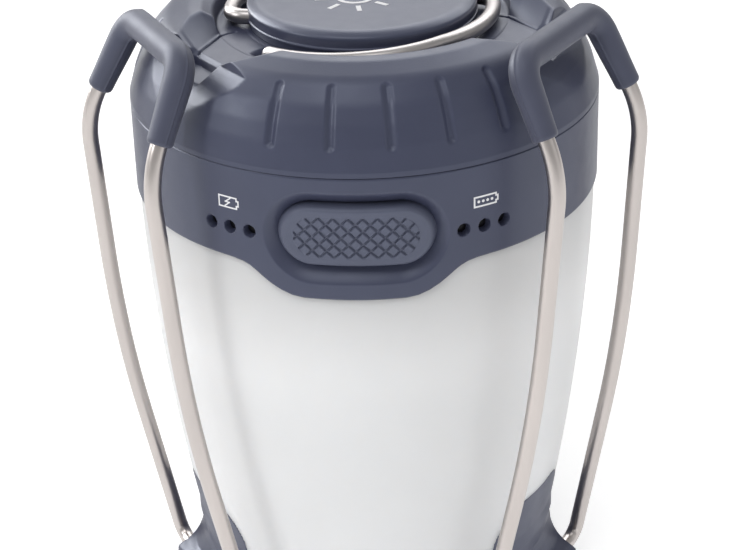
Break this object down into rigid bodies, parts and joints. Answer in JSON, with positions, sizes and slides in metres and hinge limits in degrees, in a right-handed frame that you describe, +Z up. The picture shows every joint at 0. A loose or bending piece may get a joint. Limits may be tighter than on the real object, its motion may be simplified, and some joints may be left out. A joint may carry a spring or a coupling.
{
  "type": "camping lantern",
  "caption": "Round camping lantern with a frosted globe, a front push switch, fold-out wire legs with rubber feet and hanging hooks folded round the top disc.",
  "frame": {"origin": "on the lantern's axis at the underside of the base", "axes": "+Z up along the lantern's axis, -Y towards the front, where the switch is, +X to the viewer's right when looking at the switch"},
  "size_m": [0.1006, 0.0912, 0.1259],
  "materials": {
    "slate_plastic": "fine satin texture",
    "slate_rubber": "matt moulded",
    "frosted_globe": "frosted translucent",
    "stainless_wire": "satin drawn wire",
    "white_reflector": "gloss white",
    "circuit_board": "solder mask",
    "spring_brass": "plated",
    "cell_wrap": "printed sleeve",
    "smoked_window": "polished",
    "screw_steel": "plated",
    "black_rubber": "matt",
    "aluminium": "as cut",
    "dark_plastic": "plain",
    "lamp_white": "phosphor"
  },
  "bodies": {
    "housing": {"base_cup": "slate_plastic", "battery_tube": "dark_plastic", "tube_screws": "screw_steel", "battery_cells": "cell_wrap", "top_contacts": "spring_brass", "contact_board": "circuit_board", "globe": "frosted_globe", "reflector_cone": "white_reflector", "globe_seal": "black_rubber", "collar": "slate_plastic", "charge_windows": "smoked_window", "level_windows": "smoked_window", "tact_switch": "dark_plastic", "control_board": "circuit_board", "indicator_lamps": "lamp_white", "chassis": "dark_plastic", "heat_spreader": "aluminium", "lamp_board": "circuit_board", "lamp_emitters": "lamp_white", "main_board": "circuit_board", "board_screws": "screw_steel", "charge_socket": "screw_steel", "socket_bracket": "dark_plastic", "cap_shell": "slate_plastic", "top_disc": "slate_plastic", "disc_screws": "screw_steel", "retaining_washer": "screw_steel"},
    "door": {"battery_door": "slate_plastic", "door_seal": "black_rubber", "door_contacts": "spring_brass"},
    "button": {"power_button": "slate_rubber"},
    "cover": {"port_cover": "slate_rubber"},
    "front_hook": {"hook_front": "stainless_wire"},
    "rear_hook": {"hook_rear": "stainless_wire"},
    "right_leg": {"leg_wire_right": "stainless_wire", "foot_grip_right": "slate_rubber"},
    "left_leg": {"leg_wire_left": "stainless_wire", "foot_grip_left": "slate_rubber"},
    "rear_leg": {"leg_wire_rear": "stainless_wire", "foot_grip_rear": "slate_rubber"}
  },
  "joints": [
    {"name": "right_leg_fold", "type": "hinge", "parent": "housing", "child": "right_leg", "pos_m": [0.03109, -0.01795, 0.007], "axis": [0.5, 0.866, 0], "range_deg": [0, 135]},
    {"name": "left_leg_fold", "type": "hinge", "parent": "housing", "child": "left_leg", "pos_m": [-0.03109, -0.01795, 0.007], "axis": [0.5, -0.866, 0], "range_deg": [0, 135]},
    {"name": "rear_leg_fold", "type": "hinge", "parent": "housing", "child": "rear_leg", "pos_m": [0, 0.0359, 0.007], "axis": [-1, 0, 0], "range_deg": [0, 135]},
    {"name": "front_hook_lift", "type": "hinge", "parent": "housing", "child": "front_hook", "pos_m": [0.0201, 0.0046, 0.1219], "axis": [-1, 0, 0], "range_deg": [0, 90]},
    {"name": "rear_hook_lift", "type": "hinge", "parent": "housing", "child": "rear_hook", "pos_m": [-0.0201, -0.0046, 0.1219], "axis": [1, 0, 0], "range_deg": [0, 90]},
    {"name": "button_press", "type": "slide", "parent": "housing", "child": "button", "axis": [0, 1, 0], "range_m": [0, 0.0012], "stiffness_N_per_m": 600, "springref_m": -0.0004},
    {"name": "door_turn", "type": "hinge", "parent": "housing", "child": "door", "pos_m": [0, 0, 0], "axis": [0, 0, -1], "range_deg": [0, 60]},
    {"name": "cover_open", "type": "hinge", "parent": "housing", "child": "cover", "pos_m": [0.0365, 0.02107, 0.1068], "axis": [0.5, -0.866, 0], "range_deg": [0, 100]}
  ]
}
